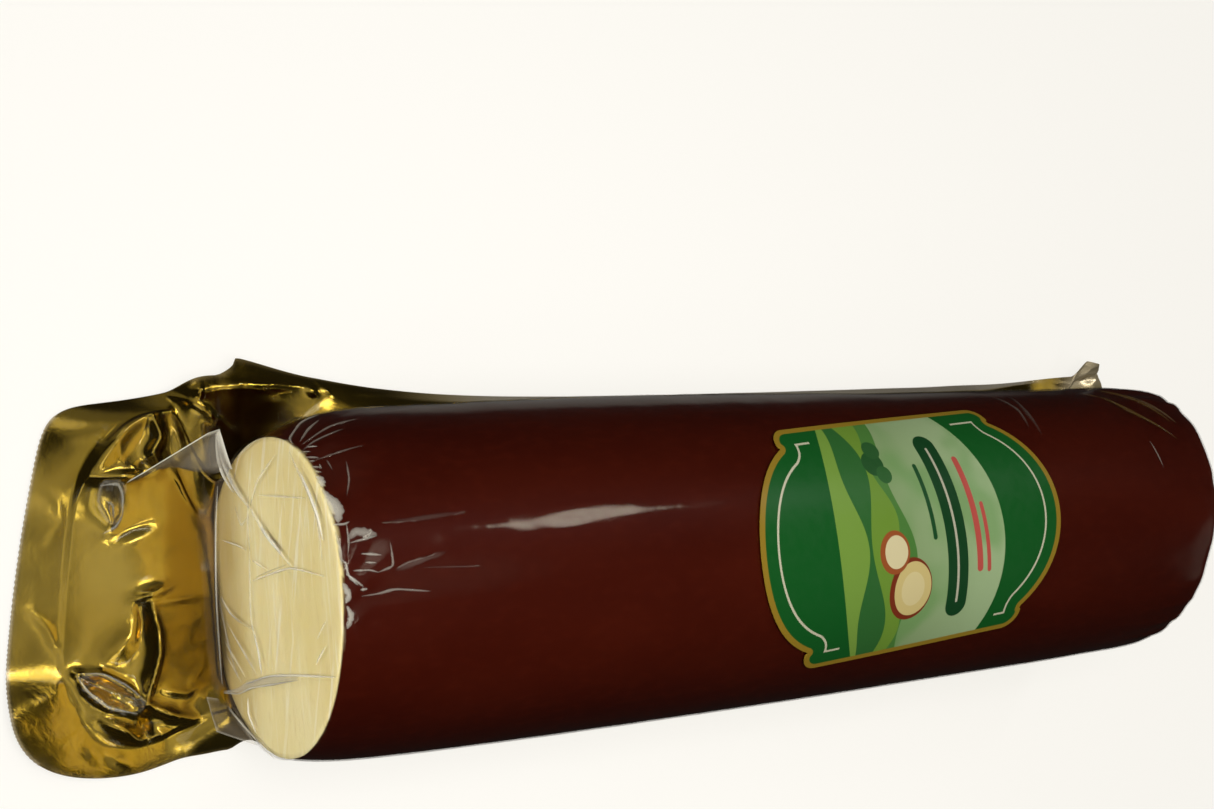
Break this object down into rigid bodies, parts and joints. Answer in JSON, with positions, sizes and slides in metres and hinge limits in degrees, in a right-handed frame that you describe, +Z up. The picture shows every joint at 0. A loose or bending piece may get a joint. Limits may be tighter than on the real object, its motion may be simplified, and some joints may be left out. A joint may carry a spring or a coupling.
{
  "type": "smoked cheese log",
  "caption": "Brown smoked cheese log, cut square at one end and rounded at the other, vacuum packed between gold and clear film with an arched green label.",
  "frame": {"origin": "on the underside of the gold film, under the middle of the log, where the pack rests", "axes": "+Y along the log from the cut face to the rounded end, +Z up towards the label, +X across towards the narrow side of the film"},
  "size_m": [0.1179, 0.4213, 0.0929],
  "materials": {
    "smoked_rind": "smooth dark brown smoked rind, pale yellow paste on the cut face",
    "gold_foil": "metallised gold film, crumpled, shiny",
    "clear_film": "thin clear shrink film, glossy",
    "printed_label": "printed paper, green with a gold border, semi-gloss"
  },
  "bodies": {
    "root": {"cheese": "smoked_rind", "gold_film": "gold_foil", "clear_film": "clear_film", "label": "printed_label"}
  },
  "joints": []
}
